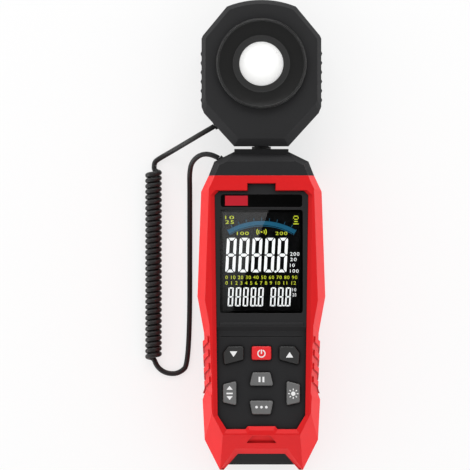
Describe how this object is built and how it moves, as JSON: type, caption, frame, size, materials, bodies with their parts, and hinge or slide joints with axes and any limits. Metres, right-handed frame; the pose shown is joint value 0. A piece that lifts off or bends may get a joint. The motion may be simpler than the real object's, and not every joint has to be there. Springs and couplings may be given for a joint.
{
  "type": "lux meter",
  "caption": "Hand-held lux meter: waisted body in a rubber jacket with display and keys, turning light sensor head with a white dome, and a curly cord between them.",
  "frame": {"origin": "on the surface that the meter lies on, under the middle of its overall length and width without the cord", "axes": "+Z out of the face with the display, +Y along the meter towards the sensor head, +X to the right when looking at the face"},
  "size_m": [0.0741, 0.1924, 0.036],
  "materials": {
    "red_rubber": "satin soft red rubber",
    "black_plastic": "finely grained black plastic",
    "window": "clear dark-tinted window",
    "strip": "glossy black strip",
    "lcd": "dark display glass",
    "white_plastic": "white moulded plastic",
    "grey_rubber": "soft grey silicone",
    "board": "green circuit board",
    "component": "black moulded components",
    "gold": "gold-plated pads",
    "grey_key": "grey rubber keys",
    "dark_key": "dark rubber keys",
    "red_key": "red rubber key",
    "neck": "smooth black acetal",
    "steel": "bright steel",
    "ring": "satin black plastic",
    "dome": "white translucent diffuser",
    "filter": "green filter glass",
    "photodiode": "photodiode case",
    "cell": "plain battery cells",
    "cord": "black rubber"
  },
  "bodies": {
    "meter": {"front_bumper": "red_rubber", "rear_bumper": "red_rubber", "front_shell": "black_plastic", "rear_shell": "black_plastic", "housing_screws": "steel", "display_window": "window", "label_strip": "strip", "lcd_module": "lcd", "lcd_holder": "white_plastic", "zebra_strips": "grey_rubber", "main_board": "board", "board_chips": "component", "buzzer": "component", "keypad_mat": "grey_rubber", "key_contacts": "gold", "neck_socket": "neck", "battery_cells": "cell", "battery_springs": "steel", "battery_contacts": "steel", "body_cord_grommet": "cord", "cord_body_lead": "cord", "cord_coil": "cord"},
    "key_down": {"key_down": "dark_key"},
    "key_power": {"key_power": "red_key"},
    "key_up": {"key_up": "dark_key"},
    "key_hold": {"key_hold": "grey_key"},
    "key_mode": {"key_mode": "grey_key"},
    "key_range": {"key_range": "grey_key"},
    "key_unit": {"key_unit": "grey_key"},
    "neck_plug": {"neck_plug": "neck", "neck_clip": "steel", "cord_head_lead": "cord"},
    "sensor_head": {"head_front_shell": "black_plastic", "head_rear_shell": "black_plastic", "head_screws": "steel", "sensor_ring": "ring", "diffuser_dome": "dome", "correction_filter": "filter", "photodiode": "photodiode", "sensor_board": "board", "head_cord_grommet": "cord"},
    "battery_door": {"battery_door": "black_plastic", "battery_door_screw": "steel"}
  },
  "joints": [
    {"name": "key_down_press", "type": "slide", "parent": "meter", "child": "key_down", "axis": [0, 0, -1], "range_m": [0, 0.0008], "stiffness_N_per_m": 800},
    {"name": "key_power_press", "type": "slide", "parent": "meter", "child": "key_power", "axis": [0, 0, -1], "range_m": [0, 0.0008], "stiffness_N_per_m": 800},
    {"name": "key_up_press", "type": "slide", "parent": "meter", "child": "key_up", "axis": [0, 0, -1], "range_m": [0, 0.0008], "stiffness_N_per_m": 800},
    {"name": "key_hold_press", "type": "slide", "parent": "meter", "child": "key_hold", "axis": [0, 0, -1], "range_m": [0, 0.0008], "stiffness_N_per_m": 800},
    {"name": "key_mode_press", "type": "slide", "parent": "meter", "child": "key_mode", "axis": [0, 0, -1], "range_m": [0, 0.0008], "stiffness_N_per_m": 800},
    {"name": "key_range_press", "type": "slide", "parent": "meter", "child": "key_range", "axis": [0, 0, -1], "range_m": [0, 0.0008], "stiffness_N_per_m": 800},
    {"name": "key_unit_press", "type": "slide", "parent": "meter", "child": "key_unit", "axis": [0, 0, -1], "range_m": [0, 0.0008], "stiffness_N_per_m": 800},
    {"name": "head_pull_off", "type": "slide", "parent": "meter", "child": "neck_plug", "axis": [0, 1, 0], "range_m": [0, 0.03], "deforming": ["cord_coil"]},
    {"name": "head_turn", "type": "hinge", "parent": "neck_plug", "child": "sensor_head", "pos_m": [0, 0.041, 0.0175], "axis": [0, 1, 0], "range_deg": [-135, 135], "deforming": ["cord_head_lead"]},
    {"name": "battery_door_release", "type": "slide", "parent": "meter", "child": "battery_door", "axis": [0, 0, -1], "range_m": [0, 0.02]}
  ]
}
